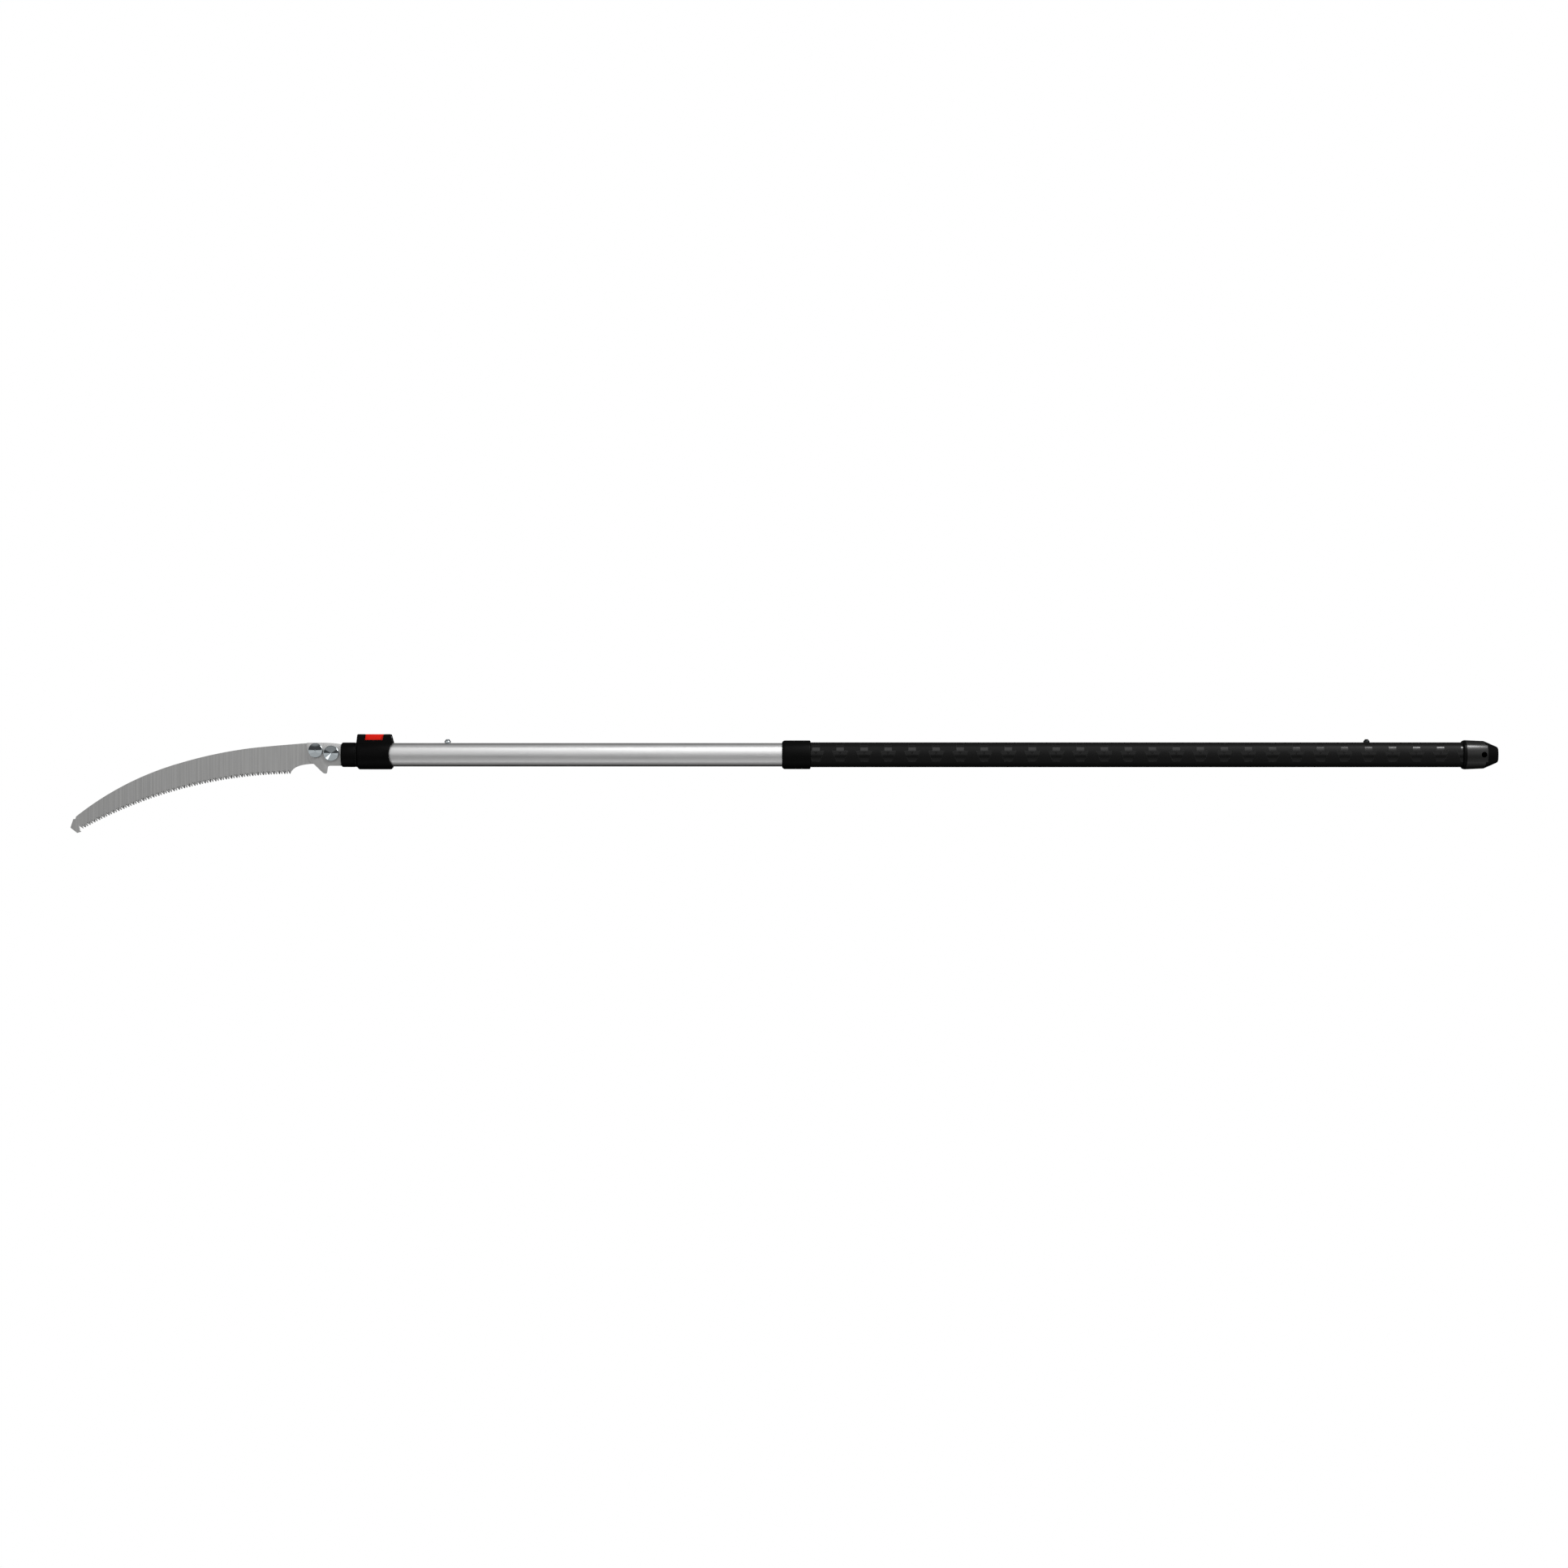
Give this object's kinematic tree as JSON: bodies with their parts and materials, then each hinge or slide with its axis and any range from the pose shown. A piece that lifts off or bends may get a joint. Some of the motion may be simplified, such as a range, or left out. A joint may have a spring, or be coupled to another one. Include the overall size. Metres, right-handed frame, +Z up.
{
  "type": "telescoping pole saw",
  "caption": "Telescoping pole saw: curved pull-cut blade on an oval two-section aluminium pole with a lever-released lock pin, rubber grip and hanging cap.",
  "frame": {"origin": "centre of the butt's flat end face, on the pole's axis", "axes": "+X along the pole and out of the butt, so the blade is at -X; +Z up, with the teeth facing down and the release lever on top; the bolt heads face -Y"},
  "size_m": [2.5005, 0.0402, 0.1729],
  "materials": {
    "blade_steel": "ground across the blade, plain",
    "plate_steel": "satin",
    "chrome": "polished",
    "zinc_steel": "bright zinc plate",
    "tube_aluminium": "satin anodised",
    "black_plastic": "moulded, fine satin",
    "glide_nylon": "moulded",
    "grip_rubber": "moulded relief, satin",
    "cap_rubber": "moulded, satin",
    "red_plastic": "moulded, half gloss"
  },
  "bodies": {
    "outer_pole": {"outer_tube": "tube_aluminium", "front_stop_screw": "chrome", "rear_stop_screw": "chrome", "guide_bush": "glide_nylon", "wiper_ring": "grip_rubber", "collar_housing": "black_plastic", "collar_screw_upper": "zinc_steel", "collar_screw_lower": "zinc_steel", "travel_stop_screw": "chrome", "lever_pivot_pin": "zinc_steel", "lock_spring": "zinc_steel", "grip_cuff": "black_plastic", "grip_sleeve": "grip_rubber", "end_cap": "cap_rubber"},
    "inner_pole": {"saw_blade": "blade_steel", "hook_plate": "plate_steel", "back_plate": "plate_steel", "spacer_plate": "plate_steel", "pivot_bolt": "chrome", "clamp_bolt": "chrome", "pivot_nut": "zinc_steel", "clamp_nut": "zinc_steel", "head_insert": "tube_aluminium", "head_rivet_front": "zinc_steel", "head_rivet_rear": "zinc_steel", "head_ferrule": "black_plastic", "inner_tube": "tube_aluminium", "stop_sleeve": "glide_nylon", "stop_sleeve_pin": "zinc_steel", "rear_glide": "glide_nylon", "rear_glide_pin": "zinc_steel"},
    "lever": {"release_lever": "red_plastic"},
    "pin": {"lock_pin": "zinc_steel"}
  },
  "joints": [
    {"name": "pole_extend", "type": "slide", "parent": "outer_pole", "child": "inner_pole", "axis": [-1, 0, 0], "range_m": [0, 1.2]},
    {"name": "lever_press", "type": "hinge", "parent": "outer_pole", "child": "lever", "pos_m": [-1.968, 0, 0.0238], "axis": [0, 1, 0], "range_deg": [0, 10.3]},
    {"name": "lock_pin_lift", "type": "slide", "parent": "outer_pole", "child": "pin", "axis": [0, 0, 1], "range_m": [0, 0.00358], "stiffness_N_per_m": 800, "springref_m": -0.004, "deforming": ["lock_spring"]}
  ],
  "couplings": [
    {"joint": "lever_press", "follows": "lock_pin_lift", "rad_per_m": 50.28}
  ]
}
